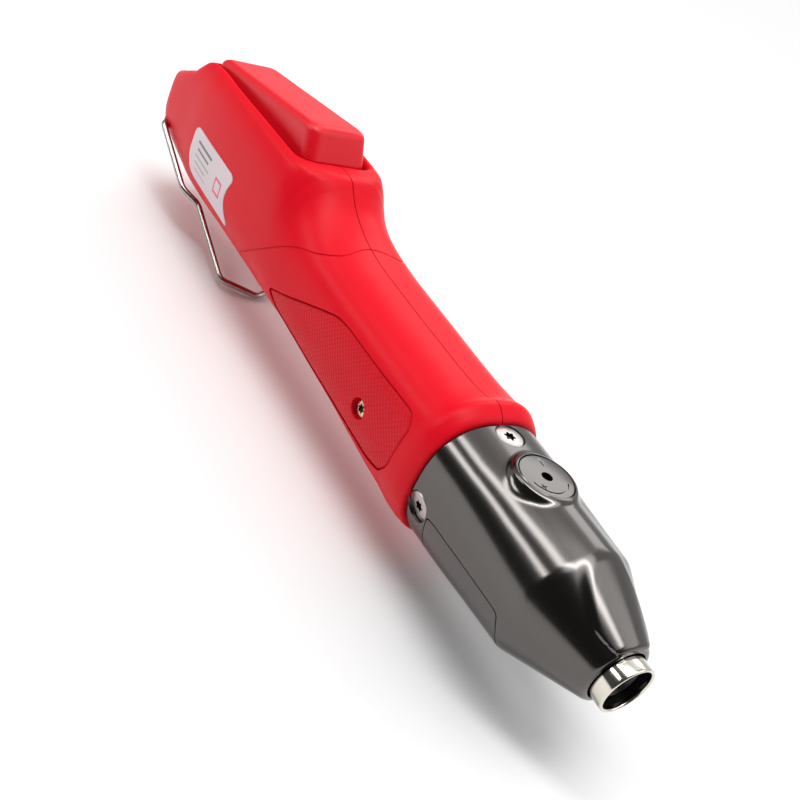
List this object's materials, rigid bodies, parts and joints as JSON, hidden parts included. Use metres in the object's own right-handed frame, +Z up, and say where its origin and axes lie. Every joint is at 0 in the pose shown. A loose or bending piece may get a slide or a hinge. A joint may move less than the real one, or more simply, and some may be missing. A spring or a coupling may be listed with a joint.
{
  "type": "battery strapping tool",
  "caption": "Slim in-line powered strapping tool with a split red plastic grip, a plated metal gear head, a hex quick-change nose, a press lever on top and a wire hanging bail.",
  "frame": {"origin": "centre of the tool's box at its lowest point, the tip of the folded bail", "axes": "+X along the tool towards the nose, +Z up to the press lever, +Y to the tool's left"},
  "size_m": [0.273, 0.0406, 0.0705],
  "materials": {
    "red_plastic": "semi-gloss moulded",
    "grip_plastic": "fine grained",
    "label_film": "satin printed film",
    "black_nickel": "glossy black nickel plate",
    "nickel": "bright nickel plate",
    "zinc_screw": "satin zinc",
    "yellow_zinc": "yellow zinc",
    "steel": "bright drawn or ground",
    "dark_steel": "blackened",
    "brass": "machined",
    "copper": "wound and laminated",
    "black_plastic": "moulded",
    "board_green": "solder mask",
    "red_insulation": "wire insulation"
  },
  "bodies": {
    "body": {"housing_right": "red_plastic", "housing_left": "red_plastic", "grip_pad_right": "grip_plastic", "grip_pad_left": "grip_plastic", "rating_label": "label_film", "grip_screw": "yellow_zinc", "tail_screw": "zinc_screw", "mid_screw": "zinc_screw", "head_casting": "black_nickel", "head_cover": "black_nickel", "head_screw_top": "zinc_screw", "head_screw_right": "zinc_screw", "head_screw_left": "zinc_screw", "head_adapter": "dark_steel", "dial_plate": "black_nickel", "clutch_spring": "steel", "ring_gear": "dark_steel", "nose_bush": "brass", "motor_can": "steel", "gear_plate": "dark_steel", "motor_end_bell": "black_plastic", "magnet_upper": "dark_steel", "magnet_lower": "dark_steel", "lever_spring": "steel", "switch_body": "black_plastic", "control_board": "board_green", "filter_capacitor": "black_plastic", "power_inlet": "black_plastic", "lead_positive": "red_insulation", "lead_negative": "black_plastic", "lever_pin": "steel", "bail_bush_right": "brass", "bail_bush_left": "brass"},
    "lever": {"lever": "red_plastic"},
    "plunger": {"switch_plunger": "black_plastic"},
    "adjuster": {"tension_adjuster": "dark_steel"},
    "spring_seat": {"spring_seat": "steel"},
    "output": {"planet_carrier": "steel", "clutch_plate": "dark_steel", "output_spindle": "nickel", "sleeve_spring": "steel"},
    "rotor": {"rotor_shaft": "steel", "rotor_core": "copper", "commutator": "copper", "sun_pinion": "brass"},
    "planet_1": {"planet_gear_1": "steel"},
    "planet_2": {"planet_gear_2": "steel"},
    "planet_3": {"planet_gear_3": "steel"},
    "sleeve": {"nose_sleeve": "nickel"},
    "detent": {"detent_ball": "steel"},
    "bail": {"bail": "steel"}
  },
  "joints": [
    {"name": "lever_press", "type": "hinge", "parent": "body", "child": "lever", "pos_m": [-0.1085, 0, 0.0537], "axis": [0, 1, 0], "range_deg": [0, 4], "stiffness_Nm_per_rad": 4, "springref_deg": -2.86, "deforming": ["lever_spring"]},
    {"name": "plunger_slide", "type": "slide", "parent": "body", "child": "plunger", "axis": [0, 0, -1], "range_m": [0, 0.003]},
    {"name": "adjuster_turn", "type": "hinge", "parent": "body", "child": "adjuster", "pos_m": [0.0855, 0, 0.0492], "axis": [0, 0, 1], "range_deg": [-60, 60]},
    {"name": "seat_slide", "type": "slide", "parent": "body", "child": "spring_seat", "axis": [1, 0, 0], "range_m": [-0.00138, 0.00138], "deforming": ["clutch_spring"]},
    {"name": "output_spin", "type": "hinge", "parent": "body", "child": "output", "pos_m": [0.1005, 0, 0.0322], "axis": [1, 0, 0], "continuous": true},
    {"name": "rotor_spin", "type": "hinge", "parent": "body", "child": "rotor", "pos_m": [0.0365, 0, 0.0322], "axis": [1, 0, 0], "continuous": true},
    {"name": "planet_1_spin", "type": "hinge", "parent": "output", "child": "planet_1", "pos_m": [0.0699, 0.00743, 0.0322], "axis": [1, 0, 0], "continuous": true},
    {"name": "planet_2_spin", "type": "hinge", "parent": "output", "child": "planet_2", "pos_m": [0.0699, -0.00371, 0.03863], "axis": [1, 0, 0], "continuous": true},
    {"name": "planet_3_spin", "type": "hinge", "parent": "output", "child": "planet_3", "pos_m": [0.0699, -0.00371, 0.02577], "axis": [1, 0, 0], "continuous": true},
    {"name": "sleeve_pull", "type": "slide", "parent": "output", "child": "sleeve", "axis": [-1, 0, 0], "range_m": [0, 0.004], "stiffness_N_per_m": 2000, "springref_m": -0.002, "deforming": ["sleeve_spring"]},
    {"name": "detent_slide", "type": "slide", "parent": "output", "child": "detent", "axis": [0, 1, 0], "range_m": [0, 0.001]},
    {"name": "bail_swing", "type": "hinge", "parent": "body", "child": "bail", "pos_m": [-0.1285, 0, 0.0256], "axis": [0, 1, 0], "range_deg": [0, 160]}
  ],
  "couplings": [
    {"joint": "plunger_slide", "follows": "lever_press", "m_per_rad": 0.042},
    {"joint": "adjuster_turn", "follows": "seat_slide", "rad_per_m": 755.86},
    {"joint": "rotor_spin", "follows": "output_spin", "ratio": 4.5},
    {"joint": "planet_1_spin", "follows": "output_spin", "ratio": -2.8},
    {"joint": "planet_2_spin", "follows": "output_spin", "ratio": -2.8},
    {"joint": "planet_3_spin", "follows": "output_spin", "ratio": -2.8},
    {"joint": "detent_slide", "follows": "sleeve_pull", "ratio": 0.25}
  ]
}
